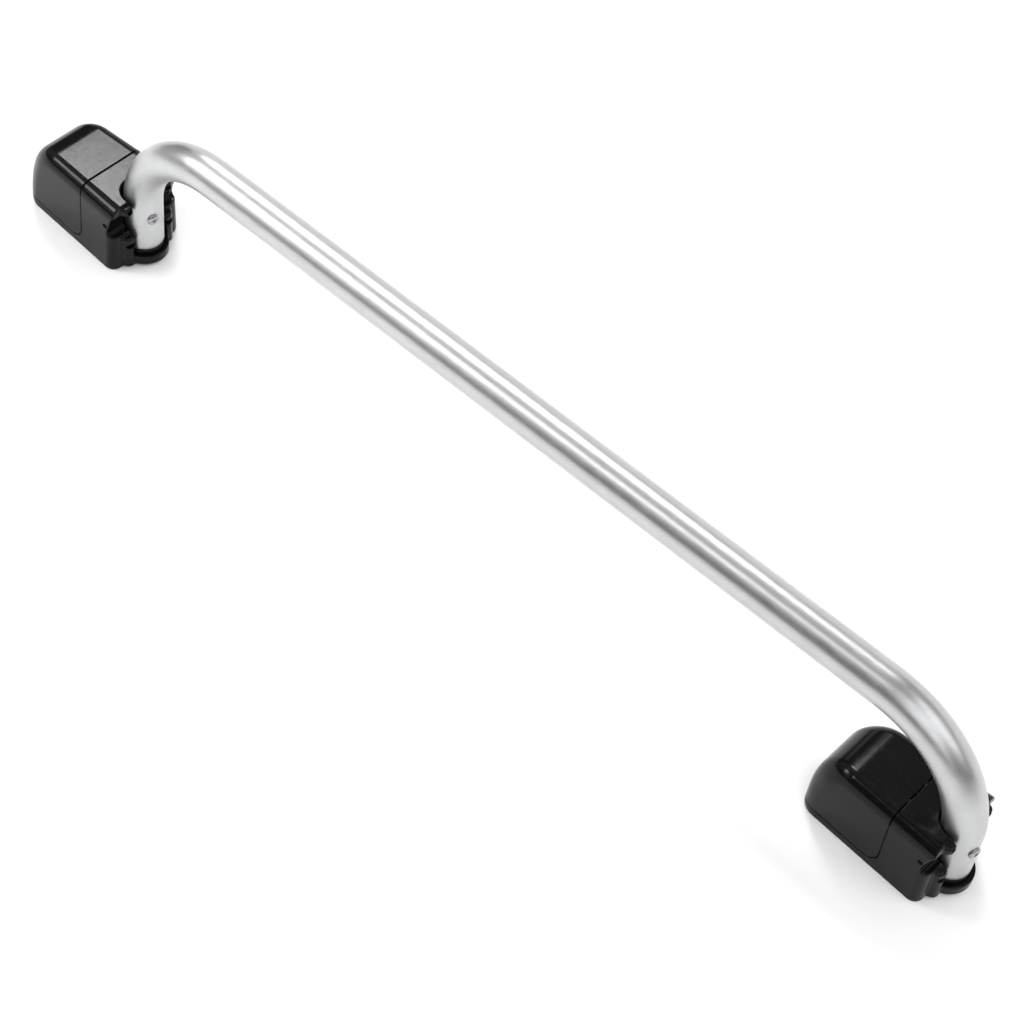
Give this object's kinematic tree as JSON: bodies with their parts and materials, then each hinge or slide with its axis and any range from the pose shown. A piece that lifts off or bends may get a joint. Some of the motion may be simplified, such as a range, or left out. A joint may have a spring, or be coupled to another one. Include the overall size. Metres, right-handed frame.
{
  "type": "suction grab bar",
  "caption": "Grab bar: a bent tube whose legs swivel in two feet, each locked to a smooth wall by a flip lever that draws up a rubber suction pad.",
  "frame": {"origin": "middle of the bounding box, on the plane of the wall that the pads rest on", "axes": "+X along the bar, +Z away from the wall, +Y across the bar"},
  "size_m": [0.9603, 0.0742, 0.158],
  "materials": {
    "anodised": "satin anodised",
    "black_gloss": "smooth moulded, glossy",
    "black_satin": "satin",
    "rubber": "matt",
    "steel": "bright",
    "black_steel": "blackened",
    "cast_zinc": "as cast, dull"
  },
  "bodies": {
    "rail": {"grab_tube": "anodised", "left_tube_plug": "black_satin", "left_pivot_bolt": "steel", "left_pivot_washer": "steel", "left_leg_screw": "steel", "right_tube_plug": "black_satin", "right_pivot_bolt": "steel", "right_pivot_washer": "steel", "right_leg_screw": "steel"},
    "left_foot": {"left_housing": "black_gloss", "left_suction_pad": "rubber", "left_pad_frame": "black_satin", "left_frame_screw_1": "steel", "left_frame_screw_2": "steel", "left_frame_screw_3": "steel", "left_frame_screw_4": "steel", "left_detent_ring": "black_satin", "left_lever_pin": "steel", "left_spring": "steel", "left_cheek_screw_1": "black_steel", "left_cheek_screw_2": "black_steel", "left_cheek_screw_3": "black_steel", "left_cheek_screw_4": "black_steel"},
    "left_flip": {"left_lever": "black_gloss", "left_lever_cam": "cast_zinc", "left_cam_screw_1": "steel", "left_cam_screw_2": "steel"},
    "left_lift": {"left_stem": "cast_zinc", "left_stem_pin": "steel", "left_lift_plate": "steel"},
    "right_foot": {"right_housing": "black_gloss", "right_suction_pad": "rubber", "right_pad_frame": "black_satin", "right_frame_screw_1": "steel", "right_frame_screw_2": "steel", "right_frame_screw_3": "steel", "right_frame_screw_4": "steel", "right_detent_ring": "black_satin", "right_lever_pin": "steel", "right_spring": "steel", "right_cheek_screw_1": "black_steel", "right_cheek_screw_2": "black_steel", "right_cheek_screw_3": "black_steel", "right_cheek_screw_4": "black_steel"},
    "right_flip": {"right_lever": "black_gloss", "right_lever_cam": "cast_zinc", "right_cam_screw_1": "steel", "right_cam_screw_2": "steel"},
    "right_lift": {"right_stem": "cast_zinc", "right_stem_pin": "steel", "right_lift_plate": "steel"}
  },
  "joints": [
    {"name": "left_foot_swivel", "type": "hinge", "parent": "rail", "child": "left_foot", "pos_m": [-0.36855, 0, 0.03], "axis": [0, 0, 1], "continuous": true},
    {"name": "left_lever_flip", "type": "hinge", "parent": "left_foot", "child": "left_flip", "pos_m": [-0.42455, 0, 0.0625], "axis": [0, 1, 0], "range_deg": [0, 60]},
    {"name": "left_pad_lift", "type": "slide", "parent": "left_foot", "child": "left_lift", "axis": [0, 0, -1], "range_m": [0, 0.0026], "deforming": ["left_spring", "left_suction_pad"]},
    {"name": "right_foot_swivel", "type": "hinge", "parent": "rail", "child": "right_foot", "pos_m": [0.46145, 0, 0.03], "axis": [0, 0, 1], "continuous": true},
    {"name": "right_lever_flip", "type": "hinge", "parent": "right_foot", "child": "right_flip", "pos_m": [0.40545, 0, 0.0625], "axis": [0, 1, 0], "range_deg": [0, 60]},
    {"name": "right_pad_lift", "type": "slide", "parent": "right_foot", "child": "right_lift", "axis": [0, 0, -1], "range_m": [0, 0.0026], "deforming": ["right_spring", "right_suction_pad"]}
  ],
  "couplings": [
    {"joint": "left_pad_lift", "follows": "left_lever_flip", "m_per_rad": 0.0024828},
    {"joint": "right_pad_lift", "follows": "right_lever_flip", "m_per_rad": 0.0024828}
  ]
}
